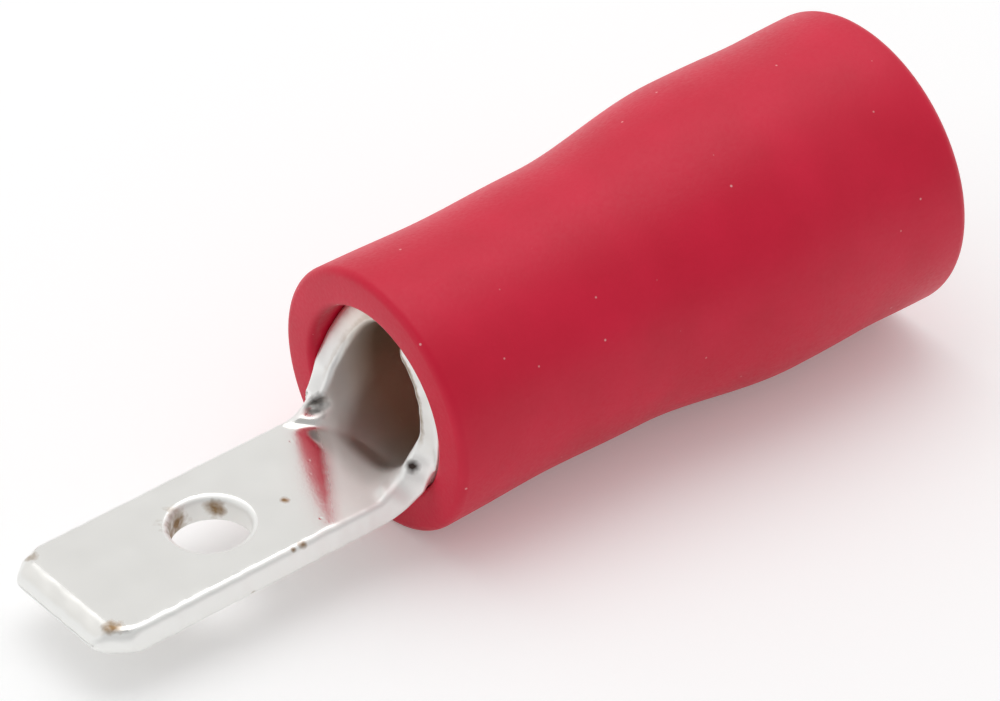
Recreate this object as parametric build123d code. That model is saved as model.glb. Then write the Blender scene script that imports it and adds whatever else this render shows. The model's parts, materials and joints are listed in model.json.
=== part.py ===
"""Male spade terminal with an insulating sleeve, modelled at its real size.

A flat tab and a wire barrel are one strip of tin-plated brass, cut as a T. The tab is the T's leg.
Through a short cradle the strip dips and curls up, and the T's wide end closes into a round barrel
with its seam on top. A soft stepped sleeve is pushed over the barrel and reaches back over the
wire's insulation.

Frame: the origin is the middle of the barrel's rear mouth, where the bare wire goes in.
+X runs along the barrel towards the wire, the tab points to -X, and +Z is up with the seam.
"""
from build123d import *
from math import asin, atan, cos, degrees, radians, sin, tan
import os

# Driving dimensions in millimetres: the brass strip
sheet = 0.5
tab_width = 2.8
tab_reach = 6.33
tab_drop = 0.78

# The tab's nose: its corners in plan and its coined edge
corner_length = 0.5
corner_width = 0.4
coin_length = 0.3
coin_depth = 0.16
corner_coin_length = 0.16
corner_coin_depth = 0.1

# The latch hole through the tab
hole_diameter = 1.3
hole_from_rim = 3.29
hole_edge_break = 0.07

# The cradle, and the barrel with its seam and the two wings that it opens into
cradle_length = 0.85
cradle_stations = 8
inner_corner_round = 0.2
barrel_outer_diameter = 3.26
barrel_length = 5.15
barrel_edge_break = 0.1
seam_gap = 0.04
wing_lean = 17.0
wing_gap_half_angle = 13.0
wing_gap_length = 1.1

# The sleeve
sleeve_length = 10.54
wings_proud = 0.05
sleeve_seat_clearance = 0.01
front_wall = 0.68
wire_entry_diameter = 4.1
rear_wall = 0.6
swell_start = 4.25
swell_length = 3.1
funnel_length = 1.6
front_rim_round = 0.15
rear_rim_round = 0.21
front_mouth_round = 0.12
rear_mouth_round = 0.15
rim_share_of_wall = 0.6
mouth_share_of_wall = 0.36
bearing_flat = 0.04

# Sizes worked out from the driving dimensions
barrel_radius = barrel_outer_diameter / 2
barrel_bore = barrel_radius - sheet
barrel_middle = barrel_radius - sheet / 2
root_x = -barrel_length
rim_x = root_x + wings_proud
nose_x = rim_x - tab_reach
tab_half = tab_width / 2
tab_middle_z = -tab_drop - sheet / 2
grip_radius = barrel_radius + sleeve_seat_clearance

# The T's leg runs into its arms on a small arc, which takes up the last of the cradle
cradle_x = root_x - cradle_length
arc_start = cradle_length - inner_corner_round


def strip_half_width(run):
    """Half the strip's width, measured along the metal, at a distance into the cradle."""
    turn = asin(min(max(run - arc_start, 0.0) / inner_corner_round, 1.0))
    return tab_half + inner_corner_round * (1 - cos(turn))


def cradle_section(run):
    """Section of the cradle across X: flat where it leaves the tab, fully curled at the barrel."""
    x = cradle_x + run
    half_width = strip_half_width(run)
    share = run / cradle_length
    ease = share * share * (3 - 2 * share)
    floor_z = tab_middle_z + ease * (-barrel_middle - tab_middle_z)
    if ease == 0:
        corners = [
            (x, -half_width, floor_z + sheet / 2),
            (x, half_width, floor_z + sheet / 2),
            (x, half_width, floor_z - sheet / 2),
            (x, -half_width, floor_z - sheet / 2),
        ]
        return make_face(Polyline(*corners, close=True))
    curl_radius = barrel_middle / ease
    half_angle = half_width / curl_radius

    def spot(radius, angle):
        return (x, radius * sin(angle), floor_z + curl_radius - radius * cos(angle))

    inner = curl_radius - sheet / 2
    outer = curl_radius + sheet / 2
    edges = [
        ThreePointArc(spot(inner, -half_angle), spot(inner, 0), spot(inner, half_angle)),
        Line(spot(inner, half_angle), spot(outer, half_angle)),
        ThreePointArc(spot(outer, half_angle), spot(outer, 0), spot(outer, -half_angle)),
        Line(spot(outer, -half_angle), spot(inner, -half_angle)),
    ]
    return make_face(edges)


def make_tab():
    """Flat tab with cut corners, a nose coined on both faces and the latch hole."""
    plan = Polyline(
        (cradle_x, -tab_half),
        (nose_x + corner_length, -tab_half),
        (nose_x, -tab_half + corner_width),
        (nose_x, tab_half - corner_width),
        (nose_x + corner_length, tab_half),
        (cradle_x, tab_half),
        close=True,
    )
    tab = extrude(make_face(plan), amount=sheet / 2, both=True)
    for end in (0, -1):
        face = tab.faces().sort_by(Axis.Z)[end]
        nose_edge = face.edges().sort_by(Axis.X)[0]
        tab = chamfer(nose_edge, coin_length, coin_depth, reference=face)
    for end in (0, -1):
        face = tab.faces().sort_by(Axis.Z)[end]
        corner_edges = face.edges().sort_by(Axis.X)[1:3]
        tab = chamfer(corner_edges, corner_coin_length, corner_coin_depth, reference=face)
    tab -= Pos(rim_x - hole_from_rim, 0, 0) * Cylinder(hole_diameter / 2, 2 * sheet)
    hole_rims = tab.edges().filter_by(GeomType.CIRCLE)
    tab = chamfer(hole_rims, hole_edge_break)
    return Pos(0, 0, tab_middle_z) * tab


def make_barrel():
    """Rolled barrel with a butt seam on top, whose front corners open into two wings."""
    ring = Circle(barrel_radius) - Circle(barrel_bore)
    barrel = extrude(Plane.YZ * ring, amount=-barrel_length)
    rear_rims = barrel.edges().filter_by(GeomType.CIRCLE).group_by(Axis.X)[-1]
    barrel = chamfer(rear_rims.sort_by(SortBy.RADIUS)[-1], barrel_edge_break)

    # the wings' front edges lean back above mid height
    top = barrel_outer_diameter
    lean = top * tan(radians(wing_lean))
    front = Polyline((root_x, 0), (root_x + lean, top), (root_x - top, top), (root_x - top, 0), close=True)
    barrel -= extrude(make_face(Plane.XZ * front), amount=barrel_outer_diameter, both=True)

    # the seam, wide between the wings and narrow along the barrel
    seam = Pos(root_x / 2, 0, barrel_radius) * Box(2 * barrel_length, seam_gap, barrel_outer_diameter)
    barrel -= seam
    mouth = barrel_middle * sin(radians(wing_gap_half_angle))
    wedge = Polyline(
        (root_x, -mouth), (root_x + wing_gap_length, 0), (root_x, mouth), close=True
    )
    barrel -= extrude(make_face(wedge), amount=barrel_outer_diameter)
    return barrel


def make_terminal():
    """The whole strip: tab, cradle and barrel as one piece of metal."""
    runs = [arc_start * step / cradle_stations for step in range(cradle_stations + 1)]
    runs += [arc_start + inner_corner_round * sin(radians(turn)) for turn in (30, 60, 90)]
    cradle = loft([cradle_section(run) for run in runs], ruled=True)
    terminal = make_tab() + cradle + make_barrel()
    return terminal.clean()


def make_sleeve():
    """Hollow stepped sleeve, turned about the barrel's axis."""
    front_radius = grip_radius + front_wall
    entry_radius = wire_entry_diameter / 2
    rear_radius = entry_radius + rear_wall
    rear_x = rim_x + sleeve_length
    swell = Spline(
        (rim_x + swell_start, front_radius),
        (rim_x + swell_start + swell_length, rear_radius),
        tangents=[(1, 0), (1, 0)],
    )
    outline = [
        Line((rim_x, grip_radius), (rim_x, front_radius)),
        Line((rim_x, front_radius), swell @ 0),
        swell,
        Line(swell @ 1, (rear_x, rear_radius)),
        Line((rear_x, rear_radius), (rear_x, entry_radius)),
        Line((rear_x, entry_radius), (funnel_length, entry_radius)),
        Line((funnel_length, entry_radius), (0, grip_radius)),
        Line((0, grip_radius), (rim_x, grip_radius)),
    ]
    profile = make_face(outline)

    def corner(x, radius):
        return profile.vertices().sort_by_distance((x, radius, 0))[0]

    # a rim's two roundings never take up more than its wall
    for x, radius, size, limit in (
        (rim_x, front_radius, front_rim_round, rim_share_of_wall * front_wall),
        (rim_x, grip_radius, front_mouth_round, mouth_share_of_wall * front_wall),
        (rear_x, rear_radius, rear_rim_round, rim_share_of_wall * rear_wall),
        (rear_x, entry_radius, rear_mouth_round, mouth_share_of_wall * rear_wall),
    ):
        profile = fillet(corner(x, radius), min(size, limit))
    sleeve = revolve(profile, Axis.X)

    # lying on a table, the soft wall gives a little under its front rim and under its swell
    front_x = rim_x + front_rim_round
    swell_x = rim_x + swell_start + swell_length
    slope = degrees(atan((rear_radius - front_radius) / (swell_x - front_x)))
    table = Pos(0, 0, -rear_radius) * Box(4 * sleeve_length, 2 * rear_radius, 2 * rear_radius)
    return sleeve - Pos(front_x, 0, bearing_flat - front_radius) * Rot(0, slope, 0) * table


terminal = make_terminal()
sleeve = make_sleeve()

os.makedirs("parts", exist_ok=True)
export_step(terminal, "parts/terminal.step")
export_step(sleeve, "parts/sleeve.step")
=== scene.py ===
# %% [markdown]
# # A male spade terminal under a soft overhead light
#
# The object is small enough to hide under a fingertip: 17 mm of tinned brass and red PVC. Its
# construction model already fixes every size, so this lesson only gives it finer surfaces and finishes.
# We load that model first and keep its box, because nothing we make may reach outside it.

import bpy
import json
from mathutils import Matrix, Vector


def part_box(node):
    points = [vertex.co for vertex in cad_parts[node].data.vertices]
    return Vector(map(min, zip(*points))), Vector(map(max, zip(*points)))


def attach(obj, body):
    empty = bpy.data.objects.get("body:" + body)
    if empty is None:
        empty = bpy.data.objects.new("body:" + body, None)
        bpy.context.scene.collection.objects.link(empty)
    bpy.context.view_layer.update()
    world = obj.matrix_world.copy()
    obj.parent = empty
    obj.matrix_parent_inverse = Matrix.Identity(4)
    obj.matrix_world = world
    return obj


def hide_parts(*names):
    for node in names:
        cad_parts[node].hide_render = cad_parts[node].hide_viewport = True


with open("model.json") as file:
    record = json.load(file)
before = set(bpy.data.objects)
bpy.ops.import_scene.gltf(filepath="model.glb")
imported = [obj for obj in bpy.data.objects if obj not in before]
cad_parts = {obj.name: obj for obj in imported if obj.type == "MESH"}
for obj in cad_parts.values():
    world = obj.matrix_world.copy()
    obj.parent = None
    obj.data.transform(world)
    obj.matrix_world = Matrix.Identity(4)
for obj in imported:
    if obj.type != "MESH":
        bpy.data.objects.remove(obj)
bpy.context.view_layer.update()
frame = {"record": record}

# %% Other modules
import json
from math import atan, cos, degrees, pi, radians, sin, sqrt

import bmesh
import bpy
import numpy as np
from mathutils import Matrix, Vector, noise
from mathutils.geometry import delaunay_2d_cdt

# %% [markdown]
# ## Sizes
#
# A lesson model should not guess what the construction model knows. The ends of both pieces come from
# their boxes, and the bore and the latch hole come from the record's mounts. What neither tells, such as
# the sheet's thickness, is a named value in millimetres, the same as in the construction.

# %% Sizes that the frame gives
MM = 0.001
mounts = {mount["name"]: mount for mount in frame["record"]["mounts"]}
bore_radius = mounts["conductor_barrel"]["dims"]["r_mm"]
hole_radius = mounts["latch_hole"]["dims"]["r_mm"]
hole_x = mounts["latch_hole"]["pos_m"][0] / MM
tab_middle_z = mounts["latch_hole"]["pos_m"][2] / MM
entry_radius = mounts["wire_entry"]["dims"]["r_mm"]
nose_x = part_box("terminal")[0].x / MM
rim_x, rear_x = (corner.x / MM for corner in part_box("sleeve"))
rear_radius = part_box("sleeve")[1].z / MM
print(f"nose {nose_x:.2f}, sleeve from {rim_x:.2f} to {rear_x:.2f}, bore {2 * bore_radius:.2f} mm")

# %% Sizes of the strip, in millimetres
sheet = 0.5
tab_half = 1.4
barrel_middle = bore_radius + sheet / 2
barrel_radius = bore_radius + sheet
print(f"tab {2 * tab_half:.1f} mm wide, barrel {2 * barrel_radius:.2f} mm across")

# %% [markdown]
# ## The strip as a flat blank
#
# The real terminal starts as a flat blank of brass sheet, T shaped: a narrow tab and two arms that are
# rolled into the barrel. We do the same. First comes the blank's outline in the flat, then a mesh of it,
# and last a formula that bends every point to its place. Modelling the bent shape directly would be
# harder, and the cut edges would not keep one thickness.
#
# The arms become two wings at the barrel's mouth, and the press did not treat them alike. In the
# photograph the right wing's front edge stands nearly upright, the left one's leans back, and the seam
# between them lies a few degrees right of the top. So each edge is a short list: how far along the strip
# the metal begins, by the angle that it reaches from the top once rolled. The nose's two corners differ
# too, and the left one is cut smaller.

# %% The outline of the blank
corner_length, corner_width = 0.5, 0.4
nose_cuts = {"left": (0.38, 0.34), "right": (corner_length, corner_width)}
wing_edges = {
    "left": {
        112: -5.44, 106: -5.28, 99: -5.16, 91: -5.05, 82: -4.90, 72: -4.77,
        60: -4.65, 45: -4.60, 8: -4.58, 1: -4.48, -4: -3.80,
    },
    "right": {
        118: -5.50, 111: -5.34, 104: -5.23, 97: -5.15, 90: -5.09, 62: -5.01,
        50: -4.97, 30: -4.92, 21: -4.88, 16: -4.72, 6: -3.80,
    },
}
widening_before_wing = ((0.5, 0.0), (0.25, 0.03))


def side_of_blank(side):
    """One side of the blank as points along (x) and across the strip, from the nose to the rear."""
    edge = wing_edges[side]
    cut_length, cut_width = nose_cuts[side]
    points = [(nose_x, tab_half - cut_width), (nose_x + cut_length, tab_half)]
    wing_x = next(iter(edge.values()))
    points += [(wing_x - before, tab_half + wider) for before, wider in widening_before_wing]
    points += [(x, barrel_middle * (pi - radians(turn))) for turn, x in edge.items()]
    points.append((0.0, points[-1][1]))
    return np.array(points)


for side in wing_edges:
    print(f"the {side} arm reaches {side_of_blank(side)[-1][1]:.2f} mm from the middle")

# %% [markdown]
# A cutting tool never leaves a razor corner, and tumbling rounds what it leaves. So the outline is
# respaced evenly and each point is averaged with its neighbours, which rounds corners and leaves straight
# runs alone. A little waviness along the edge stands for the sheared sides that the photograph shows.

# %% Helpers for closed lines
def respace(points, spacing):
    """The closed line through these points, at an even spacing."""
    loop = np.vstack([points, points[:1]])
    run = np.concatenate([[0.0], np.cumsum(np.hypot(*np.diff(loop, axis=0).T))])
    at = np.linspace(0, run[-1], int(run[-1] / spacing), endpoint=False)
    return np.column_stack([np.interp(at, run, loop[:, k]) for k in (0, 1)])


def soften(points, reach, spacing):
    """Averages each point of a closed line with its neighbours, with a bell-shaped weight."""
    width = reach / spacing
    steps = range(-int(3 * width), int(3 * width) + 1)
    weights = [np.exp(-((step / width) ** 2) / 2) for step in steps]
    return sum(w * np.roll(points, -step, axis=0) for w, step in zip(weights, steps)) / sum(weights)


def inward(points):
    """Unit normals of a counter-clockwise closed line, pointing inside."""
    along = np.roll(points, -1, axis=0) - np.roll(points, 1, axis=0)
    along /= np.hypot(along[:, 0], along[:, 1])[:, None]
    return np.column_stack([-along[:, 1], along[:, 0]])


def waviness(points, size, height, seed):
    """Smooth noise at each point of a flat line, of a size and a height in millimetres."""
    return np.array([height * noise.noise(Vector((x / size, y / size, seed))) for x, y in points])


# %% The outline and the hole, softened
spacing = 0.035
corner_reach = 0.08
shear_inset, shear_size, shear_height, shear_seed = 0.012, 0.22, 0.016, 3.1
hole_steps = 112
outline = np.vstack([side_of_blank("right") * (1, -1), side_of_blank("left")[::-1]])
outline = soften(respace(outline, spacing), corner_reach, spacing)
shear = shear_inset + waviness(outline, shear_size, shear_height, shear_seed)
outline = outline + inward(outline) * shear[:, None]
turns = np.linspace(0, 2 * pi, hole_steps, endpoint=False)
hole = np.column_stack([hole_x + hole_radius * np.cos(turns), -hole_radius * np.sin(turns)])
print(len(outline), "points round the blank,", len(hole), "round the hole")

# %% [markdown]
# ## Meshing the blank
#
# A plate with rounded edges is a stack of rings: the cut face, then a quarter round in a few steps, then
# the flat. The rings follow the outline and the hole. The flat inside them is filled with a regular grid
# by a constrained triangulation, whose triangles are then joined back into squares.

# %% Rings that round an edge
round_steps = 5
edge_round, lip_round = 0.11, 0.12


def rings(line, radius):
    """Offset lines from the cut face inwards, each with its share of the edge rounding's height."""
    normals = inward(line)
    made = []
    for step in range(round_steps):
        turn = pi / 2 * step / (round_steps - 1)
        made.append((line + normals * radius * (1 - cos(turn)), radius * (1 - sin(turn))))
    return made


outer_rings = rings(outline, edge_round)
hole_rings = rings(hole, lip_round)
print(f"edges rounded by {edge_round} mm and the hole's by {lip_round} mm, in {round_steps} rings")


# %% The grid that fills the flat
fine_cell, coarse_cell, fine_until = 0.05, 0.1, -4.0
grid_across = (-4.5, 4.55)
clear_cells = 0.6


def inside(points, line):
    """Which points lie inside a closed line, by counting crossings."""
    a, b = line, np.roll(line, -1, axis=0)
    found = np.zeros(len(points), bool)
    for k, (x, y) in enumerate(points):
        crosses = (a[:, 1] > y) != (b[:, 1] > y)
        (from_x, from_y), (to_x, to_y) = a[crosses].T, b[crosses].T
        at = from_x + (y - from_y) / (to_y - from_y) * (to_x - from_x)
        found[k] = np.count_nonzero(at > x) % 2
    return found


def clear_of(points, line, distance):
    """Which points are at least a distance from every point of a line."""
    return np.array([((line - p) ** 2).sum(1).min() > distance ** 2 for p in points])


def grid_points(cell, start, end):
    """Grid points of one density in the flat, clear of its edges by a share of a cell."""
    steps = np.meshgrid(np.arange(start + cell / 2, end, cell), np.arange(*grid_across, cell))
    grid = np.stack(steps, -1).reshape(-1, 2)
    grid = grid[inside(grid, outer_rings[-1][0])]
    grid = grid[~inside(grid, hole_rings[-1][0])]
    for ring, _ in (outer_rings[-1], hole_rings[-1]):
        grid = grid[clear_of(grid, ring, clear_cells * cell)]
    return grid


grid = np.vstack([grid_points(fine_cell, nose_x, fine_until), grid_points(coarse_cell, fine_until, 0.0)])
print(len(grid), "grid points, denser where the camera sees the strip")


# %% Triangulate the flat
inside_only = 1
merge_within = 1e-6


def closed_edges(first, count):
    """Edges of a closed loop of points, by their numbers."""
    return [(first + k, first + (k + 1) % count) for k in range(count)]


seeds = [Vector(p) for p in np.vstack([outer_rings[-1][0], hole_rings[-1][0], grid])]
fences = closed_edges(0, len(outline)) + closed_edges(len(outline), len(hole))
filled = delaunay_2d_cdt(seeds, fences, [], inside_only, merge_within)
flat_points, _, triangles, sources, _, _ = filled
flat_points = np.array([tuple(p) for p in flat_points])
number_of = {source: k for k, group in enumerate(sources) for source in group}
middles = np.array([flat_points[list(t)].mean(0) for t in triangles])
kept = ~inside(middles, hole_rings[-1][0])
triangles = [t for t, keep in zip(triangles, kept) if keep]
print(len(flat_points), "points and", len(triangles), "triangles in the flat")

# %% [markdown]
# ## Bending the blank
#
# Each point's place along the strip picks a section of the terminal. On the tab that section is flat, on
# the barrel it is a full ring, and on the short cradle between them it curls up more and more while its
# floor sinks to the barrel's floor. A smooth ease joins the three, so no crease shows. The left edge is
# fully curled sooner than the right one, and the middle starts and ends later than both.

# %% How far the strip is curled
curl_start, curl_end = rim_x - 1.0, rim_x + 0.02
left_reach, left_sooner = 0.8, 0.27
middle_at, middle_reach = 0.3, 0.9
start_later, end_later = 0.20, 0.24


def ease(x, across):
    """How far the strip is curled: none on the tab and fully on the barrel."""
    left = 0.5 + 0.5 * np.tanh(across / left_reach)
    middle = np.exp(-(((across - middle_at) / middle_reach) ** 2))
    start = curl_start + start_later * middle
    end = curl_end - left_sooner * left + end_later * middle
    share = np.clip((x - start) / (end - start), 0, 1)
    return share * share * (3 - 2 * share)


print(f"the cradle runs from {curl_start:.2f} to {curl_end:.2f} mm")

# %% [markdown]
# The formula places the middle of the sheet, and both its faces lie half a thickness away along the
# sheet's own normal, so the metal keeps one thickness through the bend.
#
# The press also left small marks: a dent where the left corner folds up, and a burr with a dent behind it
# at the right corner. Each is a place on the flat blank with a radius and a height, in millimetres.

# %% The bending formula
press_marks = [((-5.40, 1.50), 0.12, -0.20), ((-5.73, -1.22), 0.14, 0.045), ((-5.45, -1.55), 0.10, -0.04)]
nearly_flat = 1e-6
slope_step = 1e-4


def press_mark_height(x, across):
    """How far the press marks raise or lower the sheet."""
    heights = 0.0
    for (mark_x, mark_across), radius, height in press_marks:
        away = (x - mark_x) ** 2 + (across - mark_across) ** 2
        heights = heights + height * np.exp(-away / radius ** 2)
    return heights


def sheet_middle(x, across):
    """Place of a point of the blank's middle plane once bent."""
    curled = ease(x, across)
    curl = np.maximum(curled, nearly_flat) / barrel_middle
    floor = tab_middle_z + curled * (-barrel_middle - tab_middle_z)
    return np.column_stack([x, np.sin(curl * across) / curl, floor + (1 - np.cos(curl * across)) / curl])


def bend(x, across, height):
    """Place of a point of the strip: along, across in the flat, and above the sheet's middle."""
    along = sheet_middle(x + slope_step, across) - sheet_middle(x - slope_step, across)
    over = sheet_middle(x, across + slope_step) - sheet_middle(x, across - slope_step)
    normal = np.cross(along, over)
    normal /= np.linalg.norm(normal, axis=1)[:, None]
    return sheet_middle(x, across) + normal * (height + press_mark_height(x, across))[:, None]


# %% [markdown]
# The nose of such a tab is coined: a press squeezes its edge thinner, so that it finds its way into a
# receptacle. That is a thinner sheet near the nose's outline. Coining is never quite even, so the length
# of the squeezed band wanders a little, which gives the wavy pale band at the tip.

# %% Half the sheet's thickness, less the coining
coin_length, coin_depth = 0.3, 0.16
corner_coin_length, corner_coin_depth = 0.16, 0.1
wander_size, wander_share, wander_seed = 0.3, 0.22, 7.7


def coining(x, across):
    """Depth that the press takes off each face near the nose."""
    wander = 1 + waviness(np.column_stack([x, across]), wander_size, wander_share, wander_seed)
    from_nose = (x - nose_x) / (coin_length * wander)
    corner_cut = sqrt(corner_length ** 2 + corner_width ** 2)
    side = np.abs(across) - (tab_half - corner_width)
    past_corner = ((x - nose_x) * corner_width - side * corner_length) / corner_cut
    from_corner = past_corner / (corner_coin_length * wander)
    nose = coin_depth * np.clip(1 - from_nose, 0, 1)
    corner = corner_coin_depth * np.clip(1 - from_corner, 0, 1)
    return np.maximum(nose, corner)


def half_thickness(x, across):
    """Half the sheet's thickness at a place on the blank."""
    return sheet / 2 - coining(x, across)


tip = half_thickness(np.array([nose_x]), np.array([0.0]))[0]
print(f"the sheet is {2 * tip:.2f} mm thick at the tip")

# %% [markdown]
# ## The strip's mesh
#
# The upper and the lower face are the same flat mesh, bent half a thickness above and below the middle.
# Each gets its rounding rings, and the last rings of both faces are joined by the cut face. Every point
# also carries two values, from 0 on the flat to 1 on the cut face: `cut`, and `torn`, which stays 0 on
# the underside. The finish uses them later, because sheared metal looks unlike rolled metal.

# %% Build the strip's mesh
def band(upper, lower, side=1):
    """Four-sided faces between two closed loops of points. A side of -1 turns them over."""
    turned = list(zip(lower, lower[1:] + lower[:1], upper[1:] + upper[:1], upper))
    return [face[::side] for face in turned]


def build_strip():
    """Vertices, faces and the two edge values of the terminal, with both its faces and its cut edges."""
    vertices, faces, torn, cut, top_loops = [], [], [], [], []

    def add(flat, side, drop):
        """Adds the points of a flat or a ring, bent into place, and tells the first one's number."""
        thick = half_thickness(flat[:, 0], flat[:, 1])
        first = sum(len(v) for v in vertices)
        vertices.append(bend(flat[:, 0], flat[:, 1], side * (thick - drop)))
        cut.extend([min(1.0, drop / edge_round)] * len(flat))
        torn.extend([cut[-1] if side == 1 else 0.0] * len(flat))
        return first

    for side in (1, -1):
        first = add(flat_points, side, 0.0)
        faces.extend([[first + k for k in t][::side] for t in triangles])
        for made, offset in ((outer_rings, 0), (hole_rings, len(outline))):
            count = len(made[0][0])
            loops = [[first + number_of[offset + k] for k in range(count)]]
            # the innermost ring is the flat's own border, so the rounding begins with the next one
            for ring, drop in made[-2::-1]:
                start = add(ring, side, drop)
                loops.append(list(range(start, start + count)))
            for upper, lower in zip(loops, loops[1:]):
                faces.extend(band(upper, lower, side))
            if side == 1:
                top_loops.append(loops[-1])
            else:
                faces.extend(band(top_loops.pop(0), loops[-1]))
    return np.vstack(vertices), faces, torn, cut


# %% [markdown]
# Every piece goes through one helper: it makes the mesh, shades it smooth, puts it in the scene, and says
# which construction node it stands for and which body it rides on.

# %% Make a piece
square_flatness, square_skew = radians(20), radians(35)


def make_piece(name, vertices, faces, node):
    """A finished mesh piece that stands for one construction node."""
    mesh = bpy.data.meshes.new(name)
    mesh.from_pydata((np.asarray(vertices) * MM).tolist(), [], faces)
    mesh.validate()
    mesh.shade_smooth()
    piece = bpy.data.objects.new(name, mesh)
    bpy.context.scene.collection.objects.link(piece)
    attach(piece, "root")
    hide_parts(node)
    print(name, len(mesh.vertices), "vertices,", len(mesh.polygons), "faces")
    return piece


def join_squares(piece):
    """Turns pairs of coplanar triangles back into squares and makes all faces look outwards."""
    mesh = bmesh.new()
    mesh.from_mesh(piece.data)
    limits = {"angle_face_threshold": square_flatness, "angle_shape_threshold": square_skew}
    bmesh.ops.join_triangles(mesh, faces=mesh.faces, **limits)
    bmesh.ops.recalc_face_normals(mesh, faces=mesh.faces)
    mesh.to_mesh(piece.data)
    mesh.free()


# %% The terminal
vertices, faces, torn, cut = build_strip()
terminal = make_piece("terminal_strip", vertices, faces, "terminal")
for label, values in (("torn", torn), ("cut", cut)):
    terminal.data.attributes.new(label, "FLOAT", "POINT").data.foreach_set("value", values)
join_squares(terminal)
print("terminal", len(terminal.data.polygons), "faces after joining")

# %% [markdown]
# ## The sleeve
#
# The sleeve is soft PVC, moulded or drawn over a mandrel, so its shape is a turned one: a profile spun
# round the barrel's axis. We give the profile's corners real roundings and then spin it in small steps,
# because the rims' wide ellipses are what the eye follows in the picture. Before and behind its swell the
# soft wall sinks in by a few hundredths of a millimetre.

# %% Sizes of the sleeve, in millimetres
seat_clearance, front_wall = 0.01, 0.68
grip_radius = barrel_radius + seat_clearance
front_radius = grip_radius + front_wall
swell_start, swell_length, funnel_length = 4.25, 3.1, 1.6
front_rim_round, rear_rim_round, front_mouth_round, rear_mouth_round = 0.15, 0.21, 0.12, 0.15
sunken_walls = [(-2.9, 1.2, 0.05), (3.9, 0.7, 0.025)]

# start, end and number of points of the profile's long runs
outside_run = (rim_x + 0.6, rear_x - rear_rim_round - 0.3, 60)
entry_run = (rear_x - 0.5, funnel_length + 0.3, 12)
grip_run = (-0.3, rim_x + 0.4, 14)
print(f"sleeve {2 * front_radius:.2f} mm across in front and {2 * rear_radius:.2f} mm behind")


# %% The sleeve's profile
def arc(centre_x, centre_r, radius, start, end, steps=8):
    """Points on an arc of the profile, angles in degrees from +X towards larger radius."""
    return [
        (centre_x + radius * cos(radians(a)), centre_r + radius * sin(radians(a)))
        for a in np.linspace(start, end, steps)
    ]


def swell(x):
    """Outer radius along the sleeve: narrow, an easy swell, wide."""
    share = min(max((x - rim_x - swell_start) / swell_length, 0), 1)
    turned = front_radius + (rear_radius - front_radius) * share * share * (3 - 2 * share)
    sunk = sum(depth * np.exp(-((x - at) / reach) ** 2) for at, reach, depth in sunken_walls)
    return turned - sunk


def funnel(x):
    """Inner radius along the funnel that leads the wire in."""
    return grip_radius + (entry_radius - grip_radius) * x / funnel_length


def sleeve_profile():
    """Closed profile, from the front mouth over the outside to the rear mouth and back inside."""
    points = arc(rim_x + front_mouth_round, grip_radius + front_mouth_round, front_mouth_round, 270, 180)
    points += arc(rim_x + front_rim_round, front_radius - front_rim_round, front_rim_round, 180, 90)
    points += [(x, swell(x)) for x in np.linspace(*outside_run)]
    points += arc(rear_x - rear_rim_round, rear_radius - rear_rim_round, rear_rim_round, 90, 0)
    points += arc(rear_x - rear_mouth_round, entry_radius + rear_mouth_round, rear_mouth_round, 0, -90)
    points += [(x, entry_radius) for x in np.linspace(*entry_run)]
    points += [(x, funnel(x)) for x in (funnel_length, funnel_length / 2, 0.0)]
    points += [(x, grip_radius) for x in np.linspace(*grip_run)]
    return points


# %% Spin the profile
spin_steps = 256


def spin(profile):
    """Vertices and faces of a closed profile turned about the X axis."""
    turns = np.linspace(0, 2 * pi, spin_steps, endpoint=False)
    vertices = [(x, r * cos(turn), r * sin(turn)) for turn in turns for x, r in profile]
    count = len(profile)
    loops = [list(range(step * count, (step + 1) * count)) for step in range(spin_steps)]
    faces = []
    for here, there in zip(loops, loops[1:] + loops[:1]):
        faces += band(there, here)
    return vertices, faces


skin, skin_faces = spin(sleeve_profile())
print(len(skin), "points on the sleeve's skin")

# %% [markdown]
# The part does not lie with its barrel level. It tips forward until the sleeve's front rim and the
# shoulder of its wide end both touch the table, and there the soft wall gives by a few hundredths of a
# millimetre. The construction has the same two small flats.

# %% The flats where the sleeve bears on the table
bearing_flat = 0.04
front_bearing = Vector((rim_x + front_rim_round, bearing_flat - front_radius))
rear_bearing = Vector((rim_x + swell_start + swell_length, bearing_flat - rear_radius))
table_slope = (rear_bearing.y - front_bearing.y) / (rear_bearing.x - front_bearing.x)


def table_z(x):
    """Height of the table under a place along the barrel."""
    return front_bearing.y + (x - front_bearing.x) * table_slope


skin = [(x, y, max(z, table_z(x))) for x, y, z in skin]
sleeve = make_piece("sleeve_skin", skin, skin_faces, "sleeve")
join_squares(sleeve)
tilt = degrees(atan(table_slope))
print(f"rests at x {front_bearing.x:.2f} and {rear_bearing.x:.2f} mm, tilt {tilt:.2f} degrees")

# %% [markdown]
# ## Finishes
#
# Both finishes are built from nodes, so that they hold from every side. A few small helpers keep the node
# code short. The first adds a node, sets its values and links its inputs, and the others are built on it.

# %% Helpers for node trees
def new_material(name):
    """An empty material with its node tree and surface shader."""
    material = bpy.data.materials.new(name)
    material.use_nodes = True
    tree = material.node_tree
    shader = tree.nodes["Principled BSDF"]
    return material, tree, shader


def add_node(tree, kind, inputs=None, **settings):
    """Adds a node. An input is a value, or a socket to link."""
    node = tree.nodes.new(kind)
    for name, value in settings.items():
        setattr(node, name, value)
    for key, value in (inputs or {}).items():
        if isinstance(value, bpy.types.NodeSocket):
            tree.links.new(value, node.inputs[key])
        else:
            node.inputs[key].default_value = value
    return node


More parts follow.
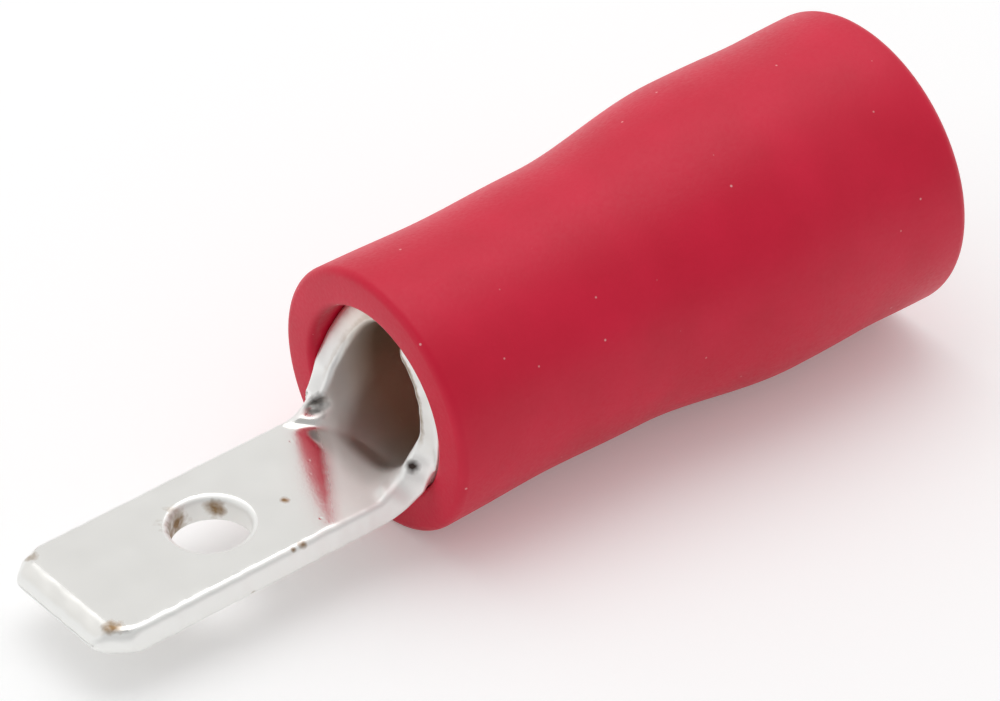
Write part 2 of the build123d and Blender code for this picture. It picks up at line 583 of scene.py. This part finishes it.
def calculate(tree, operation, *values):
    """Result of one step of arithmetic on values and sockets."""
    return add_node(tree, "ShaderNodeMath", dict(enumerate(values)), operation=operation).outputs[0]


def between(tree, value, low, high, to_low=0.0, to_high=1.0):
    """Maps a value from one range to another, clamped."""
    inputs = {"Value": value, "From Min": low, "From Max": high, "To Min": to_low, "To Max": to_high}
    return add_node(tree, "ShaderNodeMapRange", inputs).outputs["Result"]


def step_along(tree, place, reach, before=0.0, after=1.0):
    """Value that goes from before to after over a reach of places in millimetres."""
    return between(tree, place, reach[0] * MM, reach[1] * MM, before, after)


# %% Helpers for places, noise and mixes
noise_span = (0.3, 0.7)


def place_on_part(tree):
    """Place in the object's own space, so that no finish depends on the view."""
    return add_node(tree, "ShaderNodeTexCoord").outputs["Object"]


def noise_of(tree, size_mm, detail):
    """Noise of a size in millimetres. Nearly all of it lies within noise_span."""
    inputs = {"Vector": place_on_part(tree), "Scale": 1 / (size_mm * MM), "Detail": detail}
    return add_node(tree, "ShaderNodeTexNoise", inputs).outputs["Fac"]


def cells_of(tree, size_mm):
    """Random cells of a size in millimetres, as a node with a Distance and a Color output."""
    inputs = {"Vector": place_on_part(tree), "Scale": 1 / (size_mm * MM)}
    return add_node(tree, "ShaderNodeTexVoronoi", inputs)


def blend_values(tree, share, first, second):
    """Value between two, by a share from 0 to 1."""
    return add_node(tree, "ShaderNodeMix", {"Factor": share, "A": first, "B": second}).outputs[0]


def blend_colours(tree, share, first, second):
    """Colour between two, by a share from 0 to 1."""
    node = add_node(tree, "ShaderNodeMix", data_type="RGBA")
    for key, value in (("Factor", share), ("A", first), ("B", second)):
        socket = [s for s in node.inputs if s.name == key and s.enabled][0]
        if isinstance(value, bpy.types.NodeSocket):
            tree.links.new(value, socket)
        else:
            socket.default_value = value
    return [s for s in node.outputs if s.enabled][0]


# %% [markdown]
# ### Tinned brass
#
# Tin plate is a soft, slightly warm grey metal with a satin skin. It is nearly even, with a faint
# cloudiness and a few small pits from handling. The plating is worn off at the cut corners and in the
# hole, where brown brass shows in smudges smaller than a pinhead. Two kinds of shade are painted into
# the colour: near-black spots in the two dents at the cradle's corners, and a darker, warmer tin inside
# the barrel under the sleeve. Each smudge and spot is a named point with a radius, roughened by noise, so
# they sit where the photograph has them.

# %% Places where bare brass or painted shade in the dents shows, in millimetres
bare_spots = [
    ((-10.80, 1.38, -0.88), 0.11),
    ((-10.98, 1.17, -0.88), 0.13),
    ((-11.02, -1.05, -0.82), 0.15),
    ((-11.12, -1.02, -0.86), 0.12),
    ((-7.13, -0.30, -0.78), 0.08),
    ((-7.58, -1.35, -0.79), 0.08),
    ((-7.76, -1.37, -0.80), 0.06),
    ((-8.60, -1.41, -1.24), 0.07),
    ((-8.90, 0.40, -1.14), 0.34),
    ((-8.62, 0.62, -1.04), 0.26),
    ((-7.95, 0.48, -1.00), 0.18),
]
# painted shade: near-black spots in the two dents at the cradle's corners, where the dents look dark
dent_shade_spots = [((-5.42, 1.06, -0.52), 0.20), ((-5.34, -1.32, -0.41), 0.13)]
spot_border = (0.25, 1.15)


def spot_mask(tree, spots, ragged):
    """1 at the middle of any of the spots, falling softly to 0 at its ragged border."""
    where = place_on_part(tree)
    mask = None
    for (x, y, z), radius in spots:
        ends = {0: where, 1: (x * MM, y * MM, z * MM)}
        away = add_node(tree, "ShaderNodeVectorMath", ends, operation="DISTANCE").outputs["Value"]
        reach = calculate(tree, "MULTIPLY_ADD", away, 1 / (radius * MM), ragged)
        share = between(tree, reach, *spot_border, 1.0, 0.0)
        mask = share if mask is None else calculate(tree, "MAXIMUM", mask, share)
    return mask


print(len(bare_spots), "bare spots and", len(dent_shade_spots), "spots of grime")

# %% [markdown]
# Sheared metal is whiter and rougher than rolled metal, and the `cut` value of the mesh says where it is.
# Along the wings' inner edges the shears tore the metal instead of cutting it, and brass shows there in
# shreds, more of it on the right wing. That is what `torn` is for.

# %% Where the wings are torn
wings_open = (-5.20, -5.00)
right_to_left = (-0.5, 0.5)
torn_right, torn_left = 0.85, 0.3
torn_raggedness, torn_from = 0.4, 0.72


def edge_value(tree, label):
    """A value that the mesh carries at its points."""
    return add_node(tree, "ShaderNodeAttribute", attribute_name=label).outputs["Fac"]


def torn_metal(tree, ragged, along, across):
    """How much brass shows in the torn edges of the wings."""
    by_side = step_along(tree, across, right_to_left, torn_right, torn_left)
    on_wings = calculate(tree, "MULTIPLY", step_along(tree, along, wings_open), by_side)
    uneven = calculate(tree, "MULTIPLY_ADD", ragged, torn_raggedness, edge_value(tree, "torn"))
    return calculate(tree, "MULTIPLY", between(tree, uneven, torn_from, 1.0), on_wings)


# %% [markdown]
# In the cradle the tin is matt, as if the punch had rubbed it. The matt zone starts on a slant across the
# tab's root, and the shiny metal before it mirrors the red sleeve. It ends in the barrel's mouth, sooner on
# the deep floor than on the sides. The zone is worked out from the place on the part alone, so it lies the
# same way from every side.

# %% Where the cradle is matt
matt_start, matt_slant, matt_smear = (-6.18, -5.86), -0.64, 0.05
matt_end, deep_end, depth_slant = (-4.75, -4.15), (-3.75, -3.15), -2.0
cut_share_of_matt = 0.3


def matt_cradle(tree, ragged, cut, along, across, height):
    """1 on the matt metal of the cradle and 0 elsewhere, and less on the cut edges."""
    slanted = calculate(tree, "MULTIPLY_ADD", across, matt_slant, along)
    smeared = calculate(tree, "MULTIPLY_ADD", ragged, matt_smear * MM, slanted)
    on_rolled = between(tree, cut, 0.0, 1.0, 1.0, cut_share_of_matt)
    before = calculate(tree, "MULTIPLY", step_along(tree, smeared, matt_start), on_rolled)
    sunk = calculate(tree, "MULTIPLY_ADD", height, depth_slant, along)
    on_floor = step_along(tree, sunk, deep_end, 1.0, 0.0)
    after = calculate(tree, "MULTIPLY", on_floor, step_along(tree, along, matt_end, 1.0, 0.0))
    return calculate(tree, "MULTIPLY", before, after)


# %% The metal's colour
tin_colours = (0.86, 0.85, 0.82, 1), (0.90, 0.89, 0.86, 1)
brass_colours = (0.22, 0.13, 0.06, 1), (0.42, 0.28, 0.15, 1)
sheared_colour = (0.96, 0.96, 0.94, 1)
# painted shade: darker, warmer tin inside the barrel, under the red sleeve
barrel_shade_colour = (0.82, 0.68, 0.56, 1)
# near black, painted into the dents as shade
dent_shade_colour = (0.05, 0.035, 0.03, 1)
barrel_shade_starts = (-4.9, -4.2)


def metal_colour(tree, cloud, grain, cut, along, bare, painted_dent_shade):
    """Tin, whiter where sheared and painted darker and warmer inside the barrel as shade, then brass and
    painted shade in the dents over it.
    """
    tin = blend_colours(tree, between(tree, cloud, *noise_span), *tin_colours)
    tin = blend_colours(tree, cut, tin, sheared_colour)
    # painted shade inside the barrel
    tin = blend_colours(tree, step_along(tree, along, barrel_shade_starts), tin, barrel_shade_colour)
    worn = blend_colours(tree, bare, tin, blend_colours(tree, grain, *brass_colours))
    # the painted shade in the dents goes over everything
    return blend_colours(tree, painted_dent_shade, worn, dent_shade_colour)


# %% How rough and how metallic it is
satin_least, satin_more = 0.11, 0.1
barrel_starts, barrel_rough = (-5.9, -5.2), 0.38
sheared_rough_on_tab, sheared_rough_on_wings, wings_start = 0.58, 0.36, (-5.6, -5.3)
matt_rough, bare_rough = 0.48, 0.5
sheared_metallic, matt_metallic = 0.85, 0.35


def metal_surface(tree, cloud, sheared, matt, bare, along):
    """The metal's roughness, and how metallic it looks."""
    satin = calculate(tree, "MULTIPLY_ADD", cloud, satin_more, satin_least)
    rough = blend_values(tree, step_along(tree, along, barrel_starts), satin, barrel_rough)
    sheared_rough = step_along(tree, along, wings_start, sheared_rough_on_tab, sheared_rough_on_wings)
    rough = blend_values(tree, sheared, rough, sheared_rough)
    rough = blend_values(tree, matt, rough, matt_rough)
    metallic = between(tree, sheared, 0.0, 1.0, 1.0, sheared_metallic)
    metallic = blend_values(tree, matt, metallic, matt_metallic)
    return blend_values(tree, bare, rough, bare_rough), metallic


# %% The metal's fine relief, in millimetres
pit_spacing, pit_edge = 0.30, (0.05, 0.12)
grain_depth, pit_depth, relief_strength = 0.0015, 0.0025, 0.5


def bump(tree, height, depth_mm, strength, **more):
    """Normal that makes a height look raised by a depth in millimetres."""
    inputs = {"Height": height, "Distance": depth_mm * MM, "Strength": strength, **more}
    return add_node(tree, "ShaderNodeBump", inputs).outputs["Normal"]


def metal_relief(tree, grain):
    """Fine grain and a few shallow pits, as a bumped normal."""
    pits = between(tree, cells_of(tree, pit_spacing).outputs["Distance"], *pit_edge)
    grained = bump(tree, grain, grain_depth, relief_strength)
    return bump(tree, pits, pit_depth, relief_strength, Normal=grained)


# %% The tinned brass material
cloud_size, grain_size, ragged_size = 0.9, 0.05, 0.12
raggedness, dent_shade_calmness = 0.25, 0.7
cut_border = (0.0, 0.1)
squeezed_band = (nose_x + 0.28, nose_x + 0.4)


def tinned_brass():
    """Satin tin, rougher and whiter where sheared, matt in the cradle, brown where it is worn off."""
    material, tree, shader = new_material("tinned_brass_finish")
    cloud, grain = noise_of(tree, cloud_size, 4.0), noise_of(tree, grain_size, 4.0)
    ragged = between(tree, noise_of(tree, ragged_size, 1.5), *noise_span, -raggedness, raggedness)
    along, across, height = add_node(tree, "ShaderNodeSeparateXYZ", {0: place_on_part(tree)}).outputs
    cut = between(tree, edge_value(tree, "cut"), *cut_border)
    squeezed = step_along(tree, along, squeezed_band, 1.0, 0.0)
    sheared = calculate(tree, "MAXIMUM", cut, squeezed)
    torn = torn_metal(tree, ragged, along, across)
    bare = calculate(tree, "MAXIMUM", spot_mask(tree, bare_spots, ragged), torn)
    # painted shade: the near-black colour in the dents
    painted_dent_shade = spot_mask(tree, dent_shade_spots, calculate(tree, "MULTIPLY", ragged, dent_shade_calmness))
    matt = matt_cradle(tree, ragged, cut, along, across, height)
    rough, metallic = metal_surface(tree, cloud, sheared, matt, bare, along)
    colour = metal_colour(tree, cloud, grain, cut, along, bare, painted_dent_shade)
    tree.links.new(colour, shader.inputs["Base Color"])
    tree.links.new(metallic, shader.inputs["Metallic"])
    tree.links.new(rough, shader.inputs["Roughness"])
    tree.links.new(metal_relief(tree, grain), shader.inputs["Normal"])
    print(material.name, "has", len(tree.nodes), "nodes")
    return material


terminal.data.materials.append(tinned_brass())

# %% [markdown]
# ### Red PVC
#
# The sleeve's plastic is soft and evenly dyed, with a satin skin from its mould. Its colour varies by a
# few percent, fine grain breaks up the highlight, and a few pale specks of dust stick to it. Real dust is
# a scatter of tiny grains, so each speck is the middle of a random cell, and only some of the cells have
# one.

# %% The red PVC material
red_colours = (0.65, 0.003, 0.034, 1), (0.73, 0.005, 0.044, 1)
dust_colour = (0.85, 0.35, 0.36, 1)
dust_spacing, dust_edge, dust_rarity = 0.45, (0.03, 0.06), 0.40
red_cloud_size, red_grain_size = 1.4, 0.07
satin_gloss, satin_rough = 0.38, (0.38, 0.50)
red_relief, red_relief_strength = 0.006, 0.6


def dust(tree):
    """1 on the few specks of dust and 0 between them."""
    cells = cells_of(tree, dust_spacing)
    chosen = add_node(tree, "ShaderNodeSeparateColor", {"Color": cells.outputs["Color"]}).outputs["Red"]
    speck = between(tree, cells.outputs["Distance"], *dust_edge, 1.0, 0.0)
    return calculate(tree, "MULTIPLY", speck, calculate(tree, "GREATER_THAN", chosen, dust_rarity))


def red_pvc():
    """Soft red plastic with a satin skin, a fine grain and a little dust."""
    material, tree, shader = new_material("red_pvc_finish")
    cloud, grain = noise_of(tree, red_cloud_size, 3.0), noise_of(tree, red_grain_size, 4.0)
    red = blend_colours(tree, between(tree, cloud, *noise_span), *red_colours)
    grained = bump(tree, grain, red_relief, red_relief_strength)
    shader.inputs["Specular IOR Level"].default_value = satin_gloss
    tree.links.new(blend_colours(tree, dust(tree), red, dust_colour), shader.inputs["Base Color"])
    tree.links.new(between(tree, grain, *noise_span, *satin_rough), shader.inputs["Roughness"])
    tree.links.new(grained, shader.inputs["Normal"])
    print(material.name, "has", len(tree.nodes), "nodes")
    return material


sleeve.data.materials.append(red_pvc())

# %% [markdown]
# ## The table
#
# The table is a wide plain sheet under the two bearing flats, so it tilts by under three degrees against
# the barrel, because the construction model keeps its own level.

# %% The table
table_half = 400.0


def build_table():
    """One wide flat face under the sleeve's two bearing flats."""
    mesh = bpy.data.meshes.new("table")
    corners = [(sx * table_half, sy * table_half) for sx, sy in ((-1, -1), (1, -1), (1, 1), (-1, 1))]
    mesh.from_pydata([(x * MM, y * MM, table_z(x) * MM) for x, y in corners], [], [(0, 1, 2, 3)])
    table = bpy.data.objects.new("table", mesh)
    bpy.context.scene.collection.objects.link(table)
    return table


table = build_table()
print(f"table {2 * table_half:.0f} mm wide, {table_z(0):.2f} mm high under the barrel's rear end")

# %% [markdown]
# A product photograph has a white table that still shows a soft shadow. White paint alone renders grey
# where the light falls off, so the camera sees paint with a faint steady glow. The paint keeps the
# shadow, and the glow lifts it to white. Light Path's Is Camera Ray picks where the glow shows, and
# mirrored and transmitted rays see it too, so the metal reflects the same table while the glow lights
# nothing.

# %% The table's material
paint_white, table_glow = 0.92, 0.18


def seen_directly(tree):
    """1 for rays from the camera and for reflections and refractions, 0 for diffuse light."""
    path = add_node(tree, "ShaderNodeLightPath").outputs
    first = calculate(tree, "MAXIMUM", path["Is Camera Ray"], path["Is Glossy Ray"])
    return calculate(tree, "MAXIMUM", first, path["Is Transmission Ray"])


def table_paint():
    """White paint that glows a little where it is seen."""
    material, tree, shader = new_material("table_paint")
    tree.nodes.remove(shader)
    white = (paint_white, paint_white, paint_white, 1)
    paint = add_node(tree, "ShaderNodeBsdfDiffuse", {"Color": white}).outputs[0]
    glow = add_node(tree, "ShaderNodeEmission", {"Color": (1, 1, 1, 1), "Strength": table_glow}).outputs[0]
    both = add_node(tree, "ShaderNodeAddShader", {0: paint, 1: glow}).outputs[0]
    seen = add_node(tree, "ShaderNodeMixShader", {0: seen_directly(tree), 1: paint, 2: both}).outputs[0]
    tree.links.new(seen, tree.nodes["Material Output"].inputs["Surface"])
    print(material.name, "has", len(tree.nodes), "nodes")
    return material


table.data.materials.append(table_paint())

# %% [markdown]
# ## Light
#
# The photograph's highlight runs along the top of the sleeve and the shadow lies on the near side, so the
# main light is one large softbox overhead, a little behind the part. A weaker one beyond the tab lights
# the sleeve's front face and the nose. The room is bright on the far side towards the wire's end, and dim
# round the camera: the tab mirrors the bright side and turns nearly white, while the near side of the
# sleeve mirrors the dim one and keeps its deep colour. The strength is set so that a colour renders about
# as it is written: the softboxes and the walls together give a level surface its own colour.

# %% The softboxes
def softbox(name, at_mm, size_mm, radiance, aim_mm=(-3, 0, -1)):
    """A square lamp of a radiance that 1 makes as bright as white paper."""
    lamp = bpy.data.lights.new(name, "AREA")
    lamp.shape = "SQUARE"
    lamp.size = size_mm * MM
    lamp.energy = radiance * pi * (size_mm * MM) ** 2
    holder = bpy.data.objects.new(name, lamp)
    bpy.context.scene.collection.objects.link(holder)
    holder.location = Vector(at_mm) * MM
    holder.rotation_euler = (Vector(aim_mm) - Vector(at_mm)).to_track_quat("-Z", "Y").to_euler()
    print(f"{name} of {size_mm} mm, {Vector(at_mm).length:.0f} mm from the barrel")


softbox("softbox_overhead", at_mm=(13, 22, 108), size_mm=110, radiance=1.06)
softbox("softbox_left", at_mm=(-110, 35, 60), size_mm=100, radiance=0.55)

# %% The walls
bright_side = Vector((0.62, 0.75, 0.25)).normalized()
dimmest_at, brightest_at = -0.15, 0.7
dim_wall, bright_wall = 0.44, 0.82


def studio_walls():
    """Walls that are bright round one direction and dim on the opposite side."""
    world = bpy.data.worlds.new("studio_walls")
    bpy.context.scene.world = world
    world.use_nodes = True
    tree = world.node_tree
    direction = add_node(tree, "ShaderNodeTexCoord").outputs["Generated"]
    facing = add_node(tree, "ShaderNodeVectorMath", {0: direction, 1: bright_side}, operation="DOT_PRODUCT")
    strength = between(tree, facing.outputs["Value"], dimmest_at, brightest_at, dim_wall, bright_wall)
    walls = tree.nodes["Background"]
    walls.inputs["Color"].default_value = (1, 1, 1, 1)
    tree.links.new(strength, walls.inputs["Strength"])
    print(f"walls of strength {dim_wall} to {bright_wall}")


studio_walls()

# %% [markdown]
# ## The camera
#
# The photograph was taken with a long lens, from beyond the tab and well above the part. Its place was
# found by fitting the part's own edges to the picture, which is 1000 pixels wide. The camera is built
# from three angles: round the part, above it, and a slight roll.

# %% The camera
picture_width = 1000
focal_pixels = 5616
camera_at = Vector((-47.246, -57.533, 54.774)) * MM
camera_azimuth, camera_elevation, camera_roll = radians(-37.887), radians(37.056), radians(1.768)


def build_camera():
    """The camera of the photograph."""
    data = bpy.data.cameras.new("camera")
    data.sensor_width = 36.0
    data.lens = focal_pixels * data.sensor_width / picture_width
    data.clip_start, data.clip_end = 0.001, 10.0
    back = Vector((
        sin(camera_azimuth) * cos(camera_elevation),
        -cos(camera_azimuth) * cos(camera_elevation),
        sin(camera_elevation),
    ))
    level = Vector((cos(camera_azimuth), sin(camera_azimuth), 0))
    right = level * cos(camera_roll) - back.cross(level) * sin(camera_roll)
    camera = bpy.data.objects.new("camera", data)
    bpy.context.scene.collection.objects.link(camera)
    turned = Matrix((right, back.cross(right), back)).transposed().to_4x4()
    camera.matrix_world = Matrix.Translation(camera_at) @ turned
    bpy.context.scene.camera = camera
    print(f"lens {data.lens:.0f} mm, camera {camera_at.length / MM:.0f} mm from the barrel")


build_camera()
bpy.context.scene.view_settings.view_transform = "Standard"
